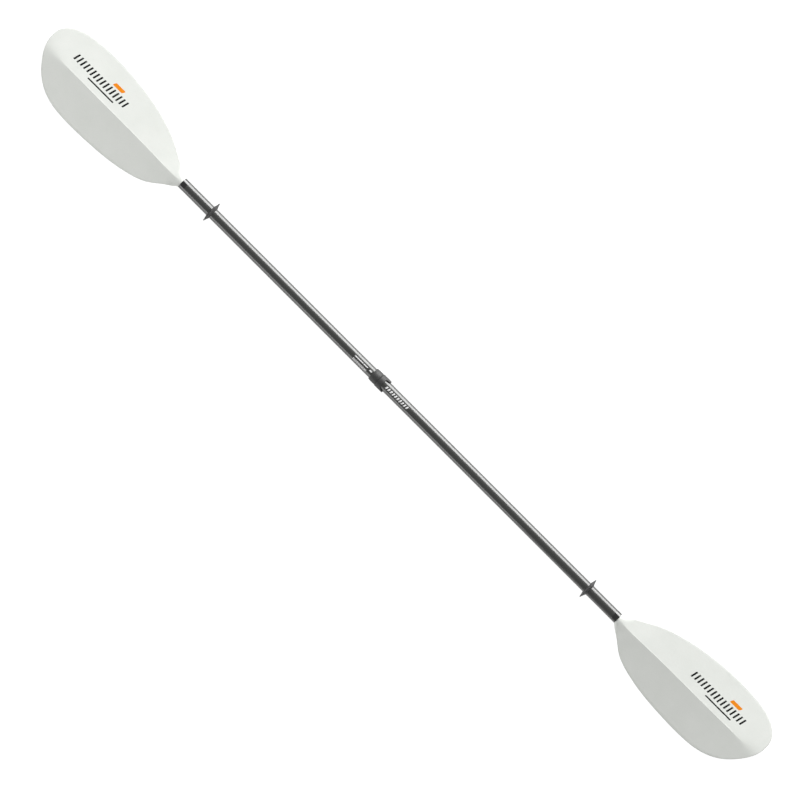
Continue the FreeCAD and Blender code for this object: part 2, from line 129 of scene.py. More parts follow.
def make_world():
    """A pale studio: brighter near the horizon than overhead."""
    world = bpy.data.worlds.new("studio")
    bpy.context.scene.world = world
    world.use_nodes = True
    tree = world.node_tree
    background = next(n for n in tree.nodes if n.type == "BACKGROUND")
    direction = add_node(tree, "ShaderNodeTexCoord").outputs["Generated"]
    height = add_node(tree, "ShaderNodeSeparateXYZ", {0: direction}).outputs["Z"]
    ramp = add_node(tree, "ShaderNodeValToRGB", {0: height})
    elements = ramp.color_ramp.elements
    while len(elements) < len(SKY_LEVELS):
        elements.new(0.5)
    for element, (position, level) in zip(elements, SKY_LEVELS):
        element.position = position
        element.color = (level, level, level * SKY_BLUE, 1)
    tree.links.new(ramp.outputs["Color"], background.inputs["Color"])


GROUND_HALF_WIDTH = 60.0
GROUND_LEVEL = -0.0002
GROUND_GREY = 0.32
GROUND_ROUGHNESS = 0.9
GROUND_SPECULAR = 0.1
GROUND_GLOW = 0.88


def make_floor():
    """A large pale floor that the paddle lies on."""
    half, level = GROUND_HALF_WIDTH, GROUND_LEVEL
    mesh = bpy.data.meshes.new("floor")
    corners = [(-half, -half, level), (half, -half, level), (half, half, level), (-half, half, level)]
    mesh.from_pydata(corners, [], [(0, 1, 2, 3)])
    floor = bpy.data.objects.new("floor", mesh)
    bpy.context.scene.collection.objects.link(floor)
    material = bpy.data.materials.new("floor")
    material.use_nodes = True
    shader = material.node_tree.nodes["Principled BSDF"]
    shader.inputs["Base Color"].default_value = (GROUND_GREY, GROUND_GREY, GROUND_GREY, 1)
    shader.inputs["Roughness"].default_value = GROUND_ROUGHNESS
    shader.inputs["Specular IOR Level"].default_value = GROUND_SPECULAR
    shader.inputs["Emission Color"].default_value = (1, 1, 1, 1)
    shader.inputs["Emission Strength"].default_value = GROUND_GLOW
    mesh.materials.append(material)


SOFTBOXES = [
    # name, place, aim, width, height, watts
    ("key", (-0.2, 3.2, 1.38), (-0.08, 0, 0.6), 3.0, 2.7, 238.0),
    ("fill", (-1.1, -3.0, 0.72), (-0.4, 0, 0.1), 3.4, 1.3, 36.0),
]

make_camera()
make_world()
make_floor()
for softbox in SOFTBOXES:
    add_softbox(*softbox)
bpy.context.scene.view_settings.view_transform = "Standard"


# Materials


def new_material(name):
    """A material with its shader, and the object's own coordinates."""
    material = bpy.data.materials.new(name)
    material.use_nodes = True
    tree = material.node_tree
    shader = tree.nodes["Principled BSDF"]
    place = add_node(tree, "ShaderNodeTexCoord").outputs["Object"]
    return material, tree, shader, place


def noise(tree, place, scale, detail=2.0, stretch=(1, 1, 1)):
    """Noise with so many features per metre."""
    if stretch != (1, 1, 1):
        place = add_node(tree, "ShaderNodeVectorMath", {0: place, 1: stretch}, operation="MULTIPLY")
        place = place.outputs[0]
    inputs = {"Vector": place, "Scale": scale, "Detail": detail}
    return add_node(tree, "ShaderNodeTexNoise", inputs).outputs[0]


def spread(tree, value, low, high, start=0.3, stop=0.7):
    """Map a value's range onto another one."""
    inputs = {0: value, 1: start, 2: stop, 3: low, 4: high}
    return add_node(tree, "ShaderNodeMapRange", inputs).outputs[0]


def mix(tree, share, first, second):
    """Mix two colours."""
    made = add_node(tree, "ShaderNodeMix", {0: share}, data_type="RGBA")
    for number, colour in ((6, first), (7, second)):
        if isinstance(colour, bpy.types.NodeSocket):
            tree.links.new(colour, made.inputs[number])
        else:
            made.inputs[number].default_value = (*colour, 1)
    return made.outputs[2]


def calc(tree, operation, first, second=0.0):
    """One step of arithmetic."""
    return add_node(tree, "ShaderNodeMath", {0: first, 1: second}, operation=operation).outputs[0]


def bump(tree, height, distance, strength=1.0, normal=None):
    """Raise the surface by a height of 1 for each distance in metres."""
    inputs = {"Height": height, "Distance": distance, "Strength": strength}
    if normal is not None:
        inputs["Normal"] = normal
    return add_node(tree, "ShaderNodeBump", inputs).outputs[0]


def connect(tree, shader, **links):
    """Join sockets to the shader's inputs."""
    for name, socket in links.items():
        tree.links.new(socket, shader.inputs[name.replace("_", " ")])


BLADE_DARK = (0.735, 0.757, 0.715)
BLADE_LIGHT = (0.795, 0.812, 0.775)
FIBRE_COLOUR = (0.55, 0.56, 0.54)
SCUFF_COLOUR = (0.46, 0.46, 0.44)
SCUFF_STRENGTH = 0.35
FIBRE_STRETCH = 0.22


def blade_nylon():
    """Pale glass-filled nylon: a faint mottle, short fibres, a moulded grain, a worn rim."""
    material, tree, shader, place = new_material("blade_nylon")
    mottle = noise(tree, place, 26.0, 4.0)
    base = mix(tree, mottle, BLADE_DARK, BLADE_LIGHT)
    fibres = noise(tree, place, 900.0, 1.0, (FIBRE_STRETCH, 1, 1))
    crossing = noise(tree, place, 900.0, 1.0, (1, FIBRE_STRETCH, 1))
    fibre_mark = calc(tree, "MAXIMUM", fibres, crossing)
    base = mix(tree, spread(tree, fibre_mark, 0.0, 0.16, 0.62, 0.78), base, FIBRE_COLOUR)
    worn = add_node(tree, "ShaderNodeAttribute", attribute_name="wear").outputs["Fac"]
    patches = spread(tree, noise(tree, place, 160.0, 3.0), 0.0, 1.0, 0.5, 0.72)
    scuff = calc(tree, "MULTIPLY", calc(tree, "MULTIPLY", worn, patches), SCUFF_STRENGTH)
    base = mix(tree, scuff, base, SCUFF_COLOUR)
    rough = calc(tree, "ADD", spread(tree, mottle, 0.40, 0.50), calc(tree, "MULTIPLY", scuff, 0.5))
    grain = bump(tree, noise(tree, place, 2400.0, 2.0), 0.00003, 0.6)
    peel = bump(tree, noise(tree, place, 90.0, 1.0), 0.00012, 0.5, grain)
    connect(tree, shader, Base_Color=base, Roughness=rough, Normal=peel)
    return material


TOW_WIDTH = 0.0021
TWILL_REPEAT = 4.0
WEAVE_DARK = (0.023, 0.024, 0.022)
WEAVE_LIGHT = (0.043, 0.045, 0.042)
RESIN = {"Specular IOR Level": 0.45, "Coat Weight": 0.94, "Coat Roughness": 0.07, "Coat IOR": 1.53}


def shaft_composite():
    """Black fibre wound in a twill at 45 degrees to the shaft, under clear resin, with a painted sheen
    on the tows.
    """
    material, tree, shader, place = new_material("shaft_composite")
    parts = add_node(tree, "ShaderNodeSeparateXYZ", {0: place}).outputs
    height = calc(tree, "SUBTRACT", parts["Z"], AXIS)
    angle = calc(tree, "ARCTAN2", parts["Y"], height)
    around = calc(tree, "MULTIPLY", angle, TUBE_RADIUS * MM / TOW_WIDTH)
    along = calc(tree, "DIVIDE", parts["X"], TOW_WIDTH)
    first = calc(tree, "ADD", along, around)
    second = calc(tree, "SUBTRACT", along, around)
    cells = calc(tree, "ADD", calc(tree, "FLOOR", first), calc(tree, "FLOOR", second))
    over = calc(tree, "LESS_THAN", calc(tree, "FLOORED_MODULO", cells, TWILL_REPEAT), TWILL_REPEAT / 2)
    crowns = []
    for run in (first, second):
        offset = calc(tree, "SUBTRACT", calc(tree, "FRACT", run), 0.5)
        fall = calc(tree, "MULTIPLY", calc(tree, "POWER", offset, 2.0), 4.0)
        crowns.append(calc(tree, "SUBTRACT", 1.0, fall))
    lifted = calc(tree, "MULTIPLY", crowns[0], over)
    rest = calc(tree, "MULTIPLY", crowns[1], calc(tree, "SUBTRACT", 1.0, over))
    crown = calc(tree, "ADD", lifted, rest)
    # Painted sheen: the base colour is lighter along each tow's crown and on the tows that lie over; the
    # strands add a random tone.
    crown_sheen_and_strands = calc(tree, "MULTIPLY", crown, calc(tree, "ADD", calc(tree, "MULTIPLY", over, 0.5), 0.5))
    strands = noise(tree, place, 1500.0, 2.0)
    crown_sheen_and_strands = calc(tree, "MULTIPLY", crown_sheen_and_strands, spread(tree, strands, 0.7, 1.1))
    base = mix(tree, crown_sheen_and_strands, WEAVE_DARK, WEAVE_LIGHT)
    rough = spread(tree, crown, 0.50, 0.38, 0.0, 1.0)
    weave = bump(tree, crown, 0.00003, 0.3)
    connect(tree, shader, Base_Color=base, Roughness=rough, Normal=weave)
    for key, value in RESIN.items():
        shader.inputs[key].default_value = value
    return material


def plain_finish(name, dark, light, rough, grain_scale, grain_height, stretch=(1, 1, 1), **sockets):
    """A moulded, coated or metal surface: cloudy colour, uneven roughness and a fine grain."""
    material, tree, shader, place = new_material(name)
    cloud = noise(tree, place, 70.0, 4.0)
    fine = noise(tree, place, grain_scale, 2.0, stretch)
    tone = mix(tree, cloud, dark, light)
    speck = spread(tree, fine, 0.0, 0.35, 0.45, 0.75)
    base = mix(tree, speck, tone, [min(1.0, c * 1.25) for c in light])
    smooth, coarse = rough
    uneven = spread(tree, calc(tree, "ADD", cloud, fine), smooth, coarse, 0.7, 1.3)
    connect(tree, shader, Base_Color=base, Roughness=uneven, Normal=bump(tree, fine, grain_height))
    for key, value in sockets.items():
        shader.inputs[key.replace("_", " ")].default_value = value
    return material


def grey(level):
    """A colour with equal red, green and blue."""
    return (level, level, level)


MATERIALS = {
    "blade_nylon": blade_nylon(),
    "shaft_composite": shaft_composite(),
    "band_resin": plain_finish(
        "band_resin", grey(0.006), grey(0.009), (0.16, 0.24), 900.0, 0.00001,
        Coat_Weight=1.0, Coat_Roughness=0.05,
    ),
    "ferrule_plastic": plain_finish(
        "ferrule_plastic", grey(0.041), grey(0.052), (0.46, 0.54), 2200.0, 0.00003,
        Specular_IOR_Level=0.36,
    ),
    "collar_plastic": plain_finish(
        "collar_plastic", grey(0.041), grey(0.052), (0.46, 0.54), 2200.0, 0.00003,
        Specular_IOR_Level=0.36,
    ),
    "drip_ring_rubber": plain_finish(
        "drip_ring_rubber", grey(0.040), grey(0.055), (0.55, 0.70), 1500.0, 0.00006,
    ),
    "spring_steel": plain_finish(
        "spring_steel", grey(0.50), grey(0.58), (0.22, 0.36), 700.0, 0.00001, (0.15, 1, 1),
        Metallic=1.0,
    ),
    "foam": plain_finish("foam", grey(0.72), grey(0.80), (0.85, 0.95), 800.0, 0.0003),
    "print_black": plain_finish(
        "print_black", grey(0.003), grey(0.005), (0.45, 0.55), 1200.0, 0.00001,
        Specular_IOR_Level=0.25,
    ),
    "print_orange": plain_finish(
        "print_orange", (0.80, 0.235, 0.004), (0.84, 0.255, 0.006), (0.50, 0.60), 1200.0, 0.00001,
        Specular_IOR_Level=0.2,
    ),
    "print_white": plain_finish("print_white", grey(0.80), grey(0.86), (0.32, 0.42), 1200.0, 0.00001),
}


# Mesh building


def make_piece(name, body, slot, shapes, stands_for=(), sharp=35.0):
    """Turn (vertices, faces) shapes into one smooth piece that rides on a body."""
    vertices, faces, wear = [], [], []
    for shape in shapes:
        start = len(vertices)
        vertices.extend(np.asarray(shape[0], float).tolist())
        faces.extend(tuple(start + n for n in face) for face in shape[1])
        wear.extend(shape[2] if len(shape) > 2 else [0.0] * len(shape[0]))
    places = np.array(vertices) * MM
    places[:, 2] += AXIS
    mesh = bpy.data.meshes.new(name)
    mesh.from_pydata(places.tolist(), [], faces)
    mesh.attributes.new("wear", "FLOAT", "POINT").data.foreach_set("value", wear)
    work = bmesh.new()
    work.from_mesh(mesh)
    bmesh.ops.remove_doubles(work, verts=work.verts, dist=1e-6)
    bmesh.ops.dissolve_degenerate(work, edges=work.edges, dist=1e-7)
    unused = [vertex for vertex in work.verts if not vertex.link_faces]
    bmesh.ops.delete(work, geom=unused, context="VERTS")
    bmesh.ops.recalc_face_normals(work, faces=work.faces)
    work.to_mesh(mesh)
    work.free()
    mesh.shade_smooth()
    mesh.set_sharp_from_angle(angle=math.radians(sharp))
    mesh.materials.append(MATERIALS[slot])
    piece = bpy.data.objects.new(name, mesh)
    bpy.context.scene.collection.objects.link(piece)
    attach(piece, body)
    if stands_for:
        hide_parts(*stands_for)
    return piece


def rounded(corners, steps=5):
    """Turn (across, up, radius) corners of a closed outline into points along its arcs."""
    points = []
    for number, (across, up, radius) in enumerate(corners):
        corner = np.array((across, up), float)
        if radius <= 0:
            points.append(corner)
            continue
        before = np.array(corners[number - 1][:2]) - corner
        after = np.array(corners[(number + 1) % len(corners)][:2]) - corner
        before /= np.linalg.norm(before)
        after /= np.linalg.norm(after)
        half = math.acos(before @ after) / 2
        middle = (before + after) / np.linalg.norm(before + after)
        centre = corner + middle * radius / math.sin(half)
        start = corner + before * radius / math.tan(half) - centre
        stop = corner + after * radius / math.tan(half) - centre
        sweep = math.pi - 2 * half
        for share in np.linspace(0, 1, steps + 1):
            arm = start * math.sin((1 - share) * sweep) + stop * math.sin(share * sweep)
            points.append(centre + arm / math.sin(sweep))
    return points


def loft(loops, closed=False, caps=False):
    """Join closed loops of points into a tube, or a ring if closed, with end faces if caps."""
    loops = np.asarray(loops, float)
    rows, count = loops.shape[:2]
    faces = []
    for row in range(rows if closed else rows - 1):
        for column in range(count):
            low, high = row * count, (row + 1) % rows * count
            side = (column + 1) % count
            faces.append((low + column, low + side, high + side, high + column))
    if caps:
        faces.append(tuple(range(count)))
        faces.append(tuple(range((rows - 1) * count, rows * count)))
    return loops.reshape(-1, 3), faces


def ring_points(station, radius, angles):
    """Points round the shaft's axis."""
    angles = np.asarray(angles)
    station, radius, angles = np.broadcast_arrays(station, radius, angles)
    return np.stack([station, radius * np.sin(angles), radius * np.cos(angles)], -1)


EVEN_ANGLES = np.arange(TURNS) * 2 * math.pi / TURNS


def lathe(outline, closed=True):
    """Turn an outline of (station, radius) about the shaft's axis."""
    return loft([ring_points(x, r, EVEN_ANGLES) for x, r in outline], closed)


def sleeve(outer, inner, cut):
    """A tube from grids of outer and inner points (station, angle, 3), without the cut cells."""
    rows, turns = outer.shape[:2]
    inside = rows * turns
    faces = []

    def solid(row, column):
        """Whether a cell is on the tube and not cut away."""
        return 0 <= row < rows - 1 and not cut[row, column % turns]

    for row in range(rows - 1):
        for column in range(turns):
            if not solid(row, column):
                continue
            a, b = row * turns + column, row * turns + (column + 1) % turns
            c, d = b + turns, a + turns
            faces.append((a, b, c, d))
            faces.append((inside + d, inside + c, inside + b, inside + a))
            sides = (
                (row - 1, column, a, b),
                (row + 1, column, c, d),
                (row, column - 1, d, a),
                (row, column + 1, b, c),
            )
            for near_row, near_column, p, q in sides:
                if not solid(near_row, near_column):
                    faces.append((q, p, inside + p, inside + q))
    return np.concatenate([outer.reshape(-1, 3), inner.reshape(-1, 3)]), faces


def angle_lines(*wanted, count=TURNS):
    """Even angles with the nearest ones moved to the wanted degrees."""
    angles = np.arange(count) * 2 * math.pi / count
    for degrees in wanted:
        exact = math.radians(degrees % 360)
        angles[np.argmin(abs(angles - exact))] = exact
    return angles


def smooth_step(value, start, stop):
    """Go from 0 at start to 1 at stop without a kink."""
    share = np.clip((np.asarray(value, float) - start) / (stop - start), 0, 1)
    return share * share * (3 - 2 * share)


def spline(knots, values):
    """The natural cubic curve through values at the knots."""
    knots, values = np.asarray(knots, float), np.asarray(values, float)
    count, gaps = len(knots), np.diff(knots)
    system, right = np.eye(count), np.zeros_like(values)
    for n in range(1, count - 1):
        system[n, n - 1 : n + 2] = gaps[n - 1], 2 * (gaps[n - 1] + gaps[n]), gaps[n]
        slope_after = (values[n + 1] - values[n]) / gaps[n]
        slope_before = (values[n] - values[n - 1]) / gaps[n - 1]
        right[n] = 3 * (slope_after - slope_before)
    bend = np.linalg.solve(system, right)

    def curve(at):
        """The curve's value at a place, or at an array of places."""
        at = np.asarray(at, float)
        n = np.clip(np.searchsorted(knots, at) - 1, 0, count - 2)
        step, gap = at - knots[n], gaps[n]
        if values.ndim > 1:
            step, gap = step[..., None], gap[..., None]
        cubic = (bend[n + 1] - bend[n]) / (3 * gap)
        linear = (values[n + 1] - values[n]) / gap - gap * (2 * bend[n] + bend[n + 1]) / 3
        return values[n] + step * (linear + step * (bend[n] + step * cubic))

    return curve


# Blades. Distances run from the shoulder towards the tip, and across from the shaft's axis
# towards the long edge. Heights are above the shaft's axis.

BLADE_SECTIONS = np.array(
    [
        # distance, crest height, slope of the faces, spine depth, half width of the rib's root
        (0.0, 12.6, 0.46, 25.0, 12.0),
        (18.0, 11.9, 0.23, 23.5, 12.0),
        (45.0, 9.9, 0.165, 20.0, 12.0),
        (85.0, 6.2, 0.148, 16.5, 11.5),
        (140.0, 1.4, 0.14, 12.5, 10.5),
        (205.0, -2.8, 0.137, 9.5, 9.5),
        (275.0, -5.0, 0.137, 7.4, 8.5),
        (345.0, -4.6, 0.137, 5.6, 7.0),
        (415.0, -1.6, 0.137, 4.4, 5.5),
        (473.0, 2.2, 0.137, 3.6, 4.5),
    ]
)
BLADE_OUTLINE = np.array(
    [
        # distance, across: out along the short edge, round the tip, back along the long edge
        (0.0, -13.6), (8.0, -20.5), (25.0, -32.0), (63.0, -59.5), (101.0, -74.0), (158.0, -85.5),
        (235.0, -92.0), (310.0, -92.8), (367.0, -84.5), (406.0, -66.0), (444.0, -28.0),
        (463.5, 8.0), (467.0, 31.0), (463.0, 54.5), (444.0, 75.6), (406.0, 91.7), (355.0, 99.0),
        (300.0, 99.8), (215.0, 92.5), (139.0, 77.0), (82.0, 56.0), (25.0, 25.5), (0.0, 13.6),
    ]
)
SHEET_THICKNESS = 2.4
NECK_RADIUS = 13.5
# distance, how far across the crest lies
CREST_LINE = [(0, 0), (20, -1.5), (47, -2.2), (117, -0.9), (250, 0), (417, 0.8), (475, 1.0)]
CREST_SOFTNESS = 0.9
TIP_SOFTNESS = 20
TIP_SOFT_SPAN = (370, 480)
FALL_AT_CREST = 1.1
FALL_EASING = 0.0014
BEAD_HEIGHT = 0.22
BEAD_RISE = (-0.9, 0.1)
BEAD_FADE = (0.1, 2.6)
BEAD_START = (20, 70)
BEAD_STOP = (370, 430)
SPINE_FLAT = 1.5

crest_height, face_slope, spine_depth, rib_root = (
    spline(BLADE_SECTIONS[:, 0], BLADE_SECTIONS[:, n]) for n in range(1, 5)
)
crest_across = spline(*zip(*CREST_LINE))


def top_height(distance, across):
    """Height of the power face: two slopes from a crest that softens towards the tip."""
    softness = CREST_SOFTNESS + TIP_SOFTNESS * smooth_step(distance, *TIP_SOFT_SPAN) ** 1.5
    away = across - crest_across(distance)
    fall = np.hypot(away, softness) * (FALL_AT_CREST - FALL_EASING * abs(away))
    roof = crest_height(distance) - face_slope(distance) * fall
    bead = smooth_step(away, *BEAD_RISE) * (1 - smooth_step(away, *BEAD_FADE))
    present = smooth_step(distance, *BEAD_START) * (1 - smooth_step(distance, *BEAD_STOP))
    return roof + BEAD_HEIGHT * bead * present


def depth_below(distance, across):
    """Thickness of the blade under a point of the power face: the sheet and its spine."""
    away = abs(across - crest_across(distance))
    share = 1 - smooth_step(away, SPINE_FLAT, rib_root(distance))
    return SHEET_THICKNESS + (spine_depth(distance) - SHEET_THICKNESS) * share


OUTLINE_SAMPLES = 6001
TIP_REGION = 400
SHOULDER_SQUARE = 12


def outline_halves(count):
    """Even points along the outline's two sides, from the shoulder to the crest's end."""
    steps = np.linalg.norm(np.diff(BLADE_OUTLINE, axis=0), axis=1)
    knots = np.concatenate([[0], np.cumsum(steps)])
    curve = spline(knots, BLADE_OUTLINE)
    line = curve(np.linspace(0, knots[-1], OUTLINE_SAMPLES))
    near_tip = line[:, 0] > TIP_REGION
    end = np.argmin(np.where(near_tip, abs(line[:, 1] - CREST_LINE[-1][1]), np.inf))
    halves = []
    for part in (line[: end + 1], line[end:][::-1]):
        run = np.concatenate([[0], np.cumsum(np.linalg.norm(np.diff(part, axis=0), axis=1))])
        even = np.linspace(0, run[-1], count)
        halves.append(np.stack([np.interp(even, run, part[:, n]) for n in (0, 1)], -1))
    return halves


def outward(points, side):
    """Unit normals of a side of the outline, straight across at the shoulder."""
    along = np.gradient(points, axis=0)
    normals = np.stack([-along[:, 1], along[:, 0]], -1) * side
    normals /= np.linalg.norm(normals, axis=1)[:, None]
    flat = np.array((0.0, side))
    share = smooth_step(points[:, 0], 0, SHOULDER_SQUARE)[:, None]
    normals = share * normals + (1 - share) * flat
    return normals / np.linalg.norm(normals, axis=1)[:, None]


CREST_OFFSETS = np.array([0, 0.35, 0.75, 1.3, 2.0, 2.8, 3.8, 5.2, 7.0, 9.2, 12.0])
OUTER_LINES = 14
NARROW_CROWDING = 1.25
NARROW_REACH = (18, 34)


def across_shares(reach):
    """Shares of the way from the crest to the edge, with close lines beside the crest."""
    count = len(CREST_OFFSETS) + OUTER_LINES
    relative = (np.arange(count) / (count - 1)) ** NARROW_CROWDING
    last = CREST_OFFSETS[-1]
    outer = last + (max(reach, last + 1) - last) * np.arange(1, OUTER_LINES + 1) / OUTER_LINES
    absolute = np.concatenate([CREST_OFFSETS, outer]) / max(reach, last + 1)
    share = float(smooth_step(reach, *NARROW_REACH))
    return relative * (1 - share) + absolute * share


BLADE_LOOPS = 190
RIM_DEGREES = (30, 60, 90, 120, 150)
ACROSS_WEIGHT = 0.35
TIP_TURN = (0.9, 1.0)
NECK_BLEND = 34
WEAR_REACH = 4.0


def neck_height(points, half_width, sign):
    """Height of the round neck above (1) or below (-1) the shaft's axis."""
    level = np.clip(1 - (points[:, 1] / half_width) ** 2, 0, 1)
    return sign * NECK_RADIUS * np.sqrt(level)


def blade_loops():
    """Closed loops of points round the blade from shoulder to tip, and how worn each point is."""
    count = BLADE_LOOPS
    rim = SHEET_THICKNESS / 2
    lower, upper = outline_halves(count)
    progress = np.zeros(count)
    for side in (lower, upper):
        step = abs(np.diff(side, axis=0)) @ np.array((1, ACROSS_WEIGHT))
        run = np.concatenate([[0], np.cumsum(step)])
        progress += run / run[-1] / 2
    sides = [(upper, outward(upper, 1)), (lower, outward(lower, -1))]
    last_normal = (sides[0][1][-1] + sides[1][1][-1]) / 2
    last_normal /= np.linalg.norm(last_normal)
    tip = lower[-1] - last_normal * rim
    for edge, normals in sides:
        edge[-1] = tip + last_normal * rim
        normals[-1] = last_normal
    crest_x = progress * tip[0]
    crest_y = crest_across(crest_x)
    crest_y += (tip[1] - crest_y[-1]) * smooth_step(progress, *TIP_TURN)
    crest = np.stack([crest_x, crest_y], -1)
    turns = np.radians(RIM_DEGREES)
    rim_side = np.sign(np.cos(turns).round(6))
    loops, wear = [], []
    for n in range(count):
        tops, bottoms, rims = [], [], []
        for edge, normals in sides:
            inset = edge[n] - normals[n] * rim
            shares = across_shares(abs(inset[1] - crest[n, 1]))[:, None]
            plan = crest[n] + (inset - crest[n]) * shares
            top = top_height(plan[:, 0], plan[:, 1])
            bottom = top - depth_below(plan[:, 0], plan[:, 1])
            outer = inset + (edge[n] - inset) * np.sin(turns)[:, None]
            middle = top_height(outer[:, 0], outer[:, 1]) - rim
            rim_height = middle + rim * np.cos(turns)
            half = abs(edge[n, 1]) + 1e-6
            blend = float(smooth_step(crest_x[n], 0, NECK_BLEND))
            top = blend * top + (1 - blend) * neck_height(plan, half, 1)
            bottom = blend * bottom + (1 - blend) * neck_height(plan, half, -1)
            rim_height = blend * rim_height + (1 - blend) * neck_height(outer, half, rim_side)
            tops.append(np.column_stack([plan, top]))
            bottoms.append(np.column_stack([plan, bottom]))
            rims.append(np.column_stack([outer, rim_height]))
        loop = [tops[0][::-1], tops[1][1:], rims[1], bottoms[1][::-1], bottoms[0][1:], rims[0][::-1]]
        loop = np.concatenate(loop)
        to_upper = np.linalg.norm(loop[:, :2] - upper[n], axis=1)
        to_lower = np.linalg.norm(loop[:, :2] - lower[n], axis=1)
        loops.append(loop)
        wear.append(np.exp(-np.minimum(to_upper, to_lower) / WEAR_REACH))
    return np.array(loops), np.array(wear)


TANG_LENGTH = 70.0
TANG_PROFILE = [
    # distance back from the shoulder, radius
    (0, 12.6), (TANG_LENGTH - 1, 12.6), (TANG_LENGTH, 12.1), (TANG_LENGTH, 9.6), (10, 9.6), (10, 0.0),
]


def blade_shape(side):
    """One blade with its hollow tang, for the right (1) or left (-1) end."""
    loops, wear = blade_loops()
    root = loops[0]
    tang = []
    for back, radius in TANG_PROFILE:
        ring = root * (radius / NECK_RADIUS)
        ring[:, 0] = -back
        tang.append(ring)
    loops = np.concatenate([np.array(tang[::-1]), loops])
    wear = np.concatenate([np.zeros((len(tang), wear.shape[1])), wear])
    loops[:, :, 0] = side * (SHOULDER + loops[:, :, 0])
    vertices, faces = loft(loops)
    return vertices, faces, wear.reshape(-1).tolist()


for end, side in (("left", -1), ("right", 1)):
    make_piece(
        f"blade_skin_{end}", f"{end}_half", "blade_nylon", [blade_shape(side)], [f"blade_{end}"], 40.0
    )


# Printed marks: plain bars, ticks and dashes, each a thin film with rounded corners. A film's top
# and root are heights above the surface.

FILM_TOP = 0.07
FILM_ROOT = -0.1
CORNER_DEGREES = (0, 22.5, 45, 67.5, 90)
FILM_STEP = 3


def film(bars, surface, corner=0.8):
    """Films that follow a surface. A bar is (start, stop, low, high, slant)."""
    shapes = []
    arc = 1 - np.cos(np.radians(CORNER_DEGREES))
    for start, stop, low, high, slant in bars:
        length, height = stop - start, (high - low) / 2
        rows = np.linspace(-1, 1, 2 * max(2, math.ceil(height)) + 1)
        radius = min(corner, height, length / 2)
        inner = np.linspace(radius, length - radius, max(2, int(length / FILM_STEP)))
        along = np.concatenate([arc[:-1] * radius, inner, length - arc[:-1][::-1] * radius])
        missing = np.clip(radius - np.minimum(along, length - along), 0, radius)
        tall = height - radius + np.sqrt(radius**2 - missing**2)
        across = rows[None, :] * tall[:, None]
        place = start + along[:, None] + slant * across / height
        level = (low + high) / 2 + across
        faces, size = [], place.size
        length_count, count = place.shape
        top, under = surface(place, level, FILM_TOP), surface(place, level, FILM_ROOT)
        for i in range(length_count - 1):
            for j in range(count - 1):
                a, b = i * count + j, i * count + j + 1
                faces.append((a, b, b + count, a + count))
                faces.append((size + a + count, size + b + count, size + b, size + a))
        border = [(i, 0) for i in range(length_count)]
        border += [(length_count - 1, j) for j in range(1, count)]
        border += [(i, count - 1) for i in range(length_count - 2, -1, -1)]
        border += [(0, j) for j in range(count - 2, 0, -1)]
        line = [i * count + j for i, j in border]
        for p, q in zip(line, line[1:] + line[:1]):
            faces.append((p, q, size + q, size + p))
        shapes.append((np.concatenate([top.reshape(-1, 3), under.reshape(-1, 3)]), faces))
    return shapes


def on_tube(place, across, lift):
    """Points on the shaft's skin, as far across as they are seen from above."""
    return ring_points(place, TUBE_RADIUS + lift, np.arcsin(np.clip(across / TUBE_RADIUS, -1, 1)))


def on_blade(place, across, lift):
    """Points on either blade's power face."""
    height = top_height(abs(place) - SHOULDER, across)
    return np.stack([place, across, height + lift], -1)


def moved(start, *bars):
    """Bars shifted along the shaft."""
    return [(start + first, start + last, *rest) for first, last, *rest in bars]


MARK_STARTS = {"left": -1126.0, "right": 952.0}
BAR_COUNT = 16
BAR_PITCH = 10.8
BLADE_BARS = [(BAR_PITCH * n + 2, BAR_PITCH * n + 6.6, 26.0, 44.0, 2.2) for n in range(BAR_COUNT)]
BLADE_LINE = (58, 142, 16.2, 19.6, 0.6)
BLADE_ACCENT = (112, 143, 48.5, 57.5, 2.2)
for end, start in MARK_STARTS.items():
    black = moved(start, *BLADE_BARS, BLADE_LINE)
    accent = moved(start, BLADE_ACCENT)
    body = f"{end}_half"
    make_piece(f"blade_bars_{end}", body, "print_black", film(black, on_blade))
    make_piece(f"blade_accent_{end}", body, "print_orange", film(accent, on_blade, 2.0))

LABEL_TICKS = [(-151.0 + 2.6 * n, -149.4 + 2.6 * n, -10.0, -5.0, 0.0) for n in range(17)]
LABEL_DASHES = [
    (-151.4, -124.0, -0.5, 1.9, 0.4),
    (-122.6, -108.4, -0.5, 1.9, 0.4),
    (-102.0, -94.6, -1.6, 1.6, 0.5),
]
SHAFT_BARS = [(-45.5 + 7.5 * n, -41.5 + 7.5 * n, -4.6, 2.6, 1.3) for n in range(10)]
label_marks = film(LABEL_TICKS + LABEL_DASHES, on_tube, 0.5)
make_piece("shaft_label_marks", "left_half", "print_white", label_marks)
make_piece("shaft_bars", "right_half", "print_white", film(SHAFT_BARS, on_tube, 0.6))


# Shaft tubes, end bands and drip rings

BUTTON_STATION = sum(extent("lock_button")[:2]) / 2
WINDOW_HALF_WIDTH = 4.4
WINDOW_EDGES = (180 - 79.5, 180 + 79.5)
LIP_FILLET = 0.3
LIP_SUPPORT = 0.8
LIP_STEP = 0.1
TUBE_LOOPS = 24
BAND_ROOT = 0.2
FOAM_GAP = 0.05
FOAM_BULGE = 1
FOAM_FILLET = 1.6
RING_GAP = 0.05
DRIP_RING = [
    # distance from the ring's middle, radius (0 for the bore), fillet
    (-4.7, 0, 0.2), (-4.75, 15.2, 0.35), (-3.15, 20.5, 14.0), (-1.65, 28.0, 0.7),
    (-0.15, 28.0, 0.7), (2.25, 20.5, 14.0), (4.75, 15.2, 0.35), (4.7, 0, 0.2),
]


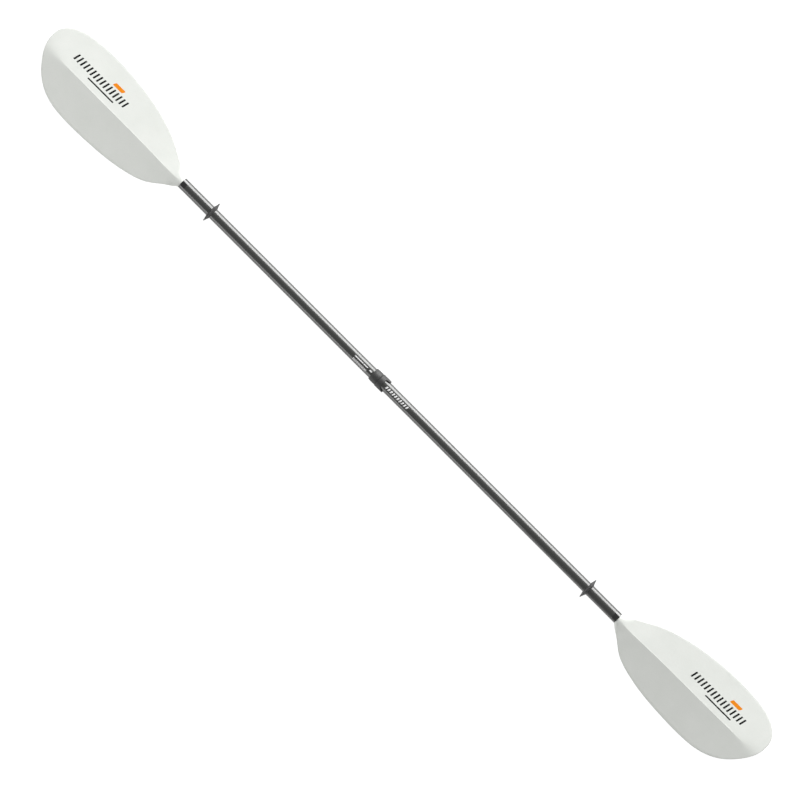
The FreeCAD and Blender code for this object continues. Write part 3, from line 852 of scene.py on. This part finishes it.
def window_cells(stations, angles):
    """Cells of a sleeve that lie in the lock button's window."""
    middle_station = (stations[:-1] + stations[1:]) / 2
    middle_angle = np.degrees(angles + np.roll(angles, -1)) / 2
    middle_angle[-1] = 360 - 180 / len(angles)
    beside = abs(middle_station - BUTTON_STATION) < WINDOW_HALF_WIDTH
    under = abs(middle_angle - 180) < 180 - WINDOW_EDGES[0]
    return beside[:, None] & under[None, :]


def tube_sleeve(start, stop, window):
    """A shaft tube with small rounds on its ends, and the button's window if asked."""
    stations = [start, start + LIP_STEP, start + LIP_FILLET, start + LIP_SUPPORT]
    if window:
        stations += [BUTTON_STATION - WINDOW_HALF_WIDTH, BUTTON_STATION + WINDOW_HALF_WIDTH]
    stations += list(np.linspace(stations[-1], stop - LIP_SUPPORT, TUBE_LOOPS)[1:])
    stations = np.array(stations + [stop - LIP_FILLET, stop - LIP_STEP, stop])
    to_end = np.clip(LIP_FILLET - np.minimum(stations - start, stop - stations), 0, LIP_FILLET)
    drop = LIP_FILLET - np.sqrt(LIP_FILLET**2 - to_end**2)
    angles = angle_lines(*WINDOW_EDGES) if window else EVEN_ANGLES
    outer = ring_points(stations[:, None], (TUBE_RADIUS - drop)[:, None], angles)
    inner = ring_points(stations[:, None], (BORE_RADIUS + drop)[:, None], angles)
    cut = window_cells(stations, angles) if window else np.zeros((len(stations) - 1, TURNS), bool)
    return sleeve(outer, inner, cut)


for end, window in (("left", False), ("right", True)):
    start, stop, _ = extent(f"shaft_{end}")
    body = f"{end}_half"
    shape = tube_sleeve(start, stop, window)
    make_piece(f"tube_{end}", body, "shaft_composite", [shape], [f"shaft_{end}"])
    start, stop, radius = extent(f"end_band_{end}")
    corners = [
        (start, TUBE_RADIUS - BAND_ROOT, 0),
        (start, radius, 0.1),
        (start + LIP_SUPPORT, radius, 0),
        (stop - LIP_SUPPORT, radius, 0),
        (stop, radius, 0.1),
        (stop, TUBE_RADIUS - BAND_ROOT, 0),
    ]
    make_piece(f"band_{end}", body, "band_resin", [lathe(rounded(corners, 2))], [f"end_band_{end}"])
    start, stop, radius = extent(f"foam_plug_{end}")
    corners = [
        (start - FOAM_BULGE, 0, 0),
        (start, radius - FOAM_GAP, FOAM_FILLET),
        (stop, radius - FOAM_GAP, FOAM_FILLET),
        (stop + FOAM_BULGE, 0, 0),
    ]
    plug = lathe(rounded(corners, 6), closed=False)
    make_piece(f"foam_{end}", body, "foam", [plug], [f"foam_plug_{end}"])
    start, stop, _ = extent(f"drip_ring_{end}")
    middle, bore = (start + stop) / 2, TUBE_RADIUS + RING_GAP
    corners = [(middle + x, r or bore, fillet) for x, r, fillet in DRIP_RING]
    ring = lathe(rounded(corners, 6))
    make_piece(f"ring_{end}", f"drip_ring_{end}", "drip_ring_rubber", [ring], [f"drip_ring_{end}"], 50.0)


# Ferrule

TICK_PITCH = 15.0
TICK_HALF_ANGLE = 1.0
TICK_DEPTH = 0.18
WAIST_LENGTH = 2.8
WAIST_DEPTH = 0.9
SOCKET_RADIUS = 17.8
WAIST_LOOPS = 7
WAIST_STEP = 0.1
EDGE_DROP = 0.15
KEY_SLOT_LENGTH = 5.8
KEY_SLOT_DEGREES = 12.9
TICK_END = 0.3
SEAT_DEGREES = 15.6
SEAT_RADIUS = 15.65
SKIRT_BORE = 14.6
RUNNING_BORE = 12.71
COUNTERBORE = 14.3
# distances from the collar's left end: the spring's seat, and the web that runs on the tenon
SEAT_START = 2.5
WEB_START = 4.89
WEB_STOP = 12.89
COLLAR_PROFILE = [
    # distance from the collar's left end, radius (0 for the collar's own)
    (0, 14.95), (0.2, 15.35), (0.8, 15.8), (1.9, 16.2), (2.49, 16.35), (2.51, 16.36), (4.88, 16.7),
    (4.9, 16.71), (7.0, 16.97), (9.5, 0), (12.88, 0), (12.9, 0), (14.4, 0),
]


def feather_collar_shape():
    """The turning collar: tapered skirt, engraved index marks, key slot and spring seat."""
    start, stop, radius = extent("feather_collar")
    stations = [start + x for x, _ in COLLAR_PROFILE]
    radii = [r or radius for _, r in COLLAR_PROFILE]
    tick_start, tick_stop = stop - KEY_SLOT_LENGTH, stop - WAIST_LENGTH - WAIST_STEP
    for station in (tick_start, tick_start + TICK_END, tick_stop - TICK_END, tick_stop):
        stations.append(station)
        radii.append(radius)
    for share in np.linspace(0, 1, WAIST_LOOPS):
        stations.append(stop - WAIST_LENGTH + share * (WAIST_LENGTH - WAIST_STEP))
        radii.append(radius - WAIST_DEPTH * share**2)
    stations.append(stop)
    radii.append(radius - WAIST_DEPTH - EDGE_DROP)
    stations, radii = np.array(stations), np.array(radii)
    unit = TICK_PITCH / 6
    half = TICK_HALF_ANGLE
    offsets = (-3 * unit, -half - unit, -half, 0, half, half + unit)
    ticks = round(360 / TICK_PITCH)
    degrees = np.sort([(n * TICK_PITCH + o) % 360 for n in range(ticks) for o in offsets])
    for edge in (180 - KEY_SLOT_DEGREES, 180 + KEY_SLOT_DEGREES):
        degrees[np.argmin(abs(degrees - edge))] = edge
    angles = np.radians(degrees)
    past_tick = degrees % TICK_PITCH
    on_tick = np.isclose(np.minimum(past_tick, TICK_PITCH - past_tick), 0)
    ticked = (stations > tick_start + TICK_END / 3) & (stations < tick_stop - TICK_END / 3)
    outer_radius = radii[:, None] - TICK_DEPTH * (ticked[:, None] & on_tick[None, :])
    past_web = np.where(stations < start + WEB_STOP, RUNNING_BORE, COUNTERBORE)
    inner_line = np.where(stations < start + WEB_START, SKIRT_BORE, past_web)
    inner_radius = inner_line[:, None] + 0 * angles[None, :]
    seat = (stations > start + SEAT_START) & (stations < start + WEB_START)
    seated = seat[:, None] & (abs(degrees - 90) < SEAT_DEGREES)[None, :]
    inner_radius = np.where(seated, SEAT_RADIUS, inner_radius)
    outer = ring_points(stations[:, None], outer_radius, angles[None, :])
    inner = ring_points(stations[:, None], inner_radius, angles[None, :])
    middle_station = (stations[:-1] + stations[1:]) / 2
    middle_degrees = (degrees + np.append(degrees[1:], degrees[0] + 360)) / 2
    slot = abs(middle_degrees - 180) < KEY_SLOT_DEGREES
    cut = (middle_station > stop - KEY_SLOT_LENGTH)[:, None] & slot[None, :]
    return sleeve(outer, inner, cut)


SOCKET_TURNS = 192
SCALLOP_LINE = [
    # degrees from the top towards +Y, distance back from the collar's end
    (-100, 0.0), (-78, 0.0), (-70, 2.2), (-62, 5.2), (-52, 8.0), (-42, 10.0), (-30, 11.6),
    (-16, 12.4), (34, 12.4), (41, 11.4), (46, 8.0), (50, 2.4), (55, 0.0), (100, 0.0),
]
SCALLOP_SMOOTHING = 3
END_SLOPE = 1.7
END_LOOPS = 9
FLOOR_DROP = 3.0
EAR_DROP = 1.4
RIM_STEP = 0.02
RIM_DROP = 0.3
WAIST_EXTRA = 0.2


def socket_collar_shape():
    """The collar on the right tube, with a rounded, scalloped end and the button's window."""
    start = extent("shaft_right")[0]
    stop = extent("socket_collar")[1]
    radius = SOCKET_RADIUS
    angles = angle_lines(*WINDOW_EDGES, count=SOCKET_TURNS)
    signed = (np.degrees(angles) + 180) % 360 - 180
    back = np.interp(signed, *zip(*SCALLOP_LINE))
    for _ in range(SCALLOP_SMOOTHING):
        back = (np.roll(back, 1) + 2 * back + np.roll(back, -1)) / 4
    end = stop - back
    floor_share = back / max(back)
    drop_all = EAR_DROP + (FLOOR_DROP - EAR_DROP) * floor_share
    columns = [(start + RIM_STEP + 0 * end, radius - WAIST_DEPTH - RIM_DROP + 0 * end)]
    for share in np.linspace(1, 0, WAIST_LOOPS):
        station = start + WAIST_LENGTH - share * (WAIST_LENGTH - 3 * RIM_STEP)
        columns.append((station + 0 * end, radius - (WAIST_DEPTH + WAIST_EXTRA) * share**2 + 0 * end))
    window = (BUTTON_STATION - WINDOW_HALF_WIDTH, BUTTON_STATION + WINDOW_HALF_WIDTH)
    body_start, body_end = start + WAIST_LENGTH, end - END_SLOPE
    before_window = [start + 3.4, start + 5.2]
    after_window = [stop - 8.0, stop - 5.0]
    for station in (*before_window, window[0], sum(window) / 2, window[1], *after_window):
        share = (station - body_start) / (stop - END_SLOPE - body_start)
        columns.append((body_start + share * (body_end - body_start), radius + 0 * end))
    for share in np.linspace(0, 1, END_LOOPS):
        turn = share * math.pi / 2
        columns.append((body_end + END_SLOPE * math.sin(turn), radius - drop_all * (1 - math.cos(turn))))
    stations = np.array([c[0] for c in columns])
    radii = np.array([c[1] for c in columns])
    outer = ring_points(stations, radii, angles[None, :])
    inner = ring_points(stations, TUBE_RADIUS + 0 * radii, angles[None, :])
    lower_stations = stations[:, SOCKET_TURNS // 2]
    return sleeve(outer, inner, window_cells(lower_stations, angles))


def rounded_bar(x_range, y_range, z_range, fillet):
    """A bar along X with rounded long edges and ends."""
    (x0, x1), (y0, y1), (z0, z1) = x_range, y_range, z_range
    near = 0.3 * fillet
    loops = []
    first_half = [(x0, fillet), (x0 + near, near), (x0 + fillet, 0)]
    second_half = [(x1 - fillet, 0), (x1 - near, near), (x1, fillet)]
    for station, inset in first_half + second_half:
        a, b, c, d = y0 + inset, y1 - inset, z0 + inset, z1 - inset
        corner = fillet * 1.2 - inset * 0.5
        section = rounded([(a, c, corner), (b, c, corner), (b, d, corner), (a, d, corner)], 4)
        loops.append([(station, y, z) for y, z in section])
    return loft(loops, caps=True)


KEY_LENGTH = 7.5
KEY_WIDTH_RANGE = (-3.0, 3.0)
KEY_HEIGHT_RANGE = (-16.8, -14.45)
KEY_FILLET = 0.4
BUTTON_OUTLINE = [
    # distance below the shaft's axis, radius, fillet
    (8.0, 0, 0), (8.0, 4.9, 0.25), (9.0, 4.9, 0.25), (9.0, 4.0, 0), (17.4, 4.0, 0.5), (18.7, 3.0, 1.2),
    (19.0, 0, 0),
]

collar = feather_collar_shape()
make_piece("collar_turning", "feather_collar", "collar_plastic", [collar], ["feather_collar"], 28.0)
key_start = extent("socket_collar")[0]
key = rounded_bar((key_start, key_start + KEY_LENGTH), KEY_WIDTH_RANGE, KEY_HEIGHT_RANGE, KEY_FILLET)
socket = [socket_collar_shape(), key]
make_piece("collar_socket", "right_half", "collar_plastic", socket, ["socket_collar"], 32.0)
points, faces = lathe(rounded(BUTTON_OUTLINE, 5), closed=False)
points = np.stack([BUTTON_STATION + points[:, 1], points[:, 2], -points[:, 0]], -1)
make_piece("button", "lock_button", "spring_steel", [(points, faces)], ["lock_button"], 30.0)


# Leaf spring behind the button

LEAF_THICKNESS = 0.7
LEAF_HALF_WIDTH = 3.5
LEAF_FOLD = 7.6
LEAF_TAIL_SHARE = 1 / 3
LEAF_ARM = 46.0
LEAF_FOLD_DEGREES = 80


def button_spring_shape():
    """The leaf behind the button, folded back over itself in a round bend."""
    start, stop, _ = extent("button_spring")
    low, high = ((corner.z - AXIS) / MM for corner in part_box("button_spring"))
    middle = (low + high) / 2
    half = (high - low - LEAF_THICKNESS) / 2
    fold = stop - LEAF_FOLD - LEAF_THICKNESS / 2
    tail = start + LEAF_ARM * LEAF_TAIL_SHARE
    line = [(x, middle - half) for x in np.linspace(start, fold, 10)]
    for turn in np.radians(np.linspace(-LEAF_FOLD_DEGREES, LEAF_FOLD_DEGREES, 17)):
        line.append((fold + LEAF_FOLD * math.cos(turn), middle + half * math.sin(turn)))
    line += [(x, middle + half) for x in np.linspace(fold, tail, 8)]
    line = np.array(line)
    along = np.gradient(line, axis=0)
    along /= np.linalg.norm(along, axis=1)[:, None]
    lean = np.stack([-along[:, 1], along[:, 0]], -1) * LEAF_THICKNESS / 2
    width = LEAF_HALF_WIDTH
    loops = []
    for (x0, z0), (x1, z1) in zip(line - lean, line + lean):
        loops.append([(x0, -width, z0), (x0, width, z0), (x1, width, z1), (x1, -width, z1)])
    return loft(loops, caps=True)


shape = button_spring_shape()
leaf = make_piece("spring_leaf", "left_half", "spring_steel", [shape], ["button_spring"], 40.0)
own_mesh(leaf)


# Finishes for the CAD nodes that show as they are

CAD_FINISHES = {
    "tenon": "ferrule_plastic",
    "tenon_cap": "ferrule_plastic",
    "index_ring": "ferrule_plastic",
    "retaining_ring": "spring_steel",
    "spring_washer": "spring_steel",
    "click_spring": "spring_steel",
}
for node, slot in CAD_FINISHES.items():
    node_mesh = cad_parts[node].data
    node_mesh.materials.clear()
    node_mesh.materials.append(MATERIALS[slot])
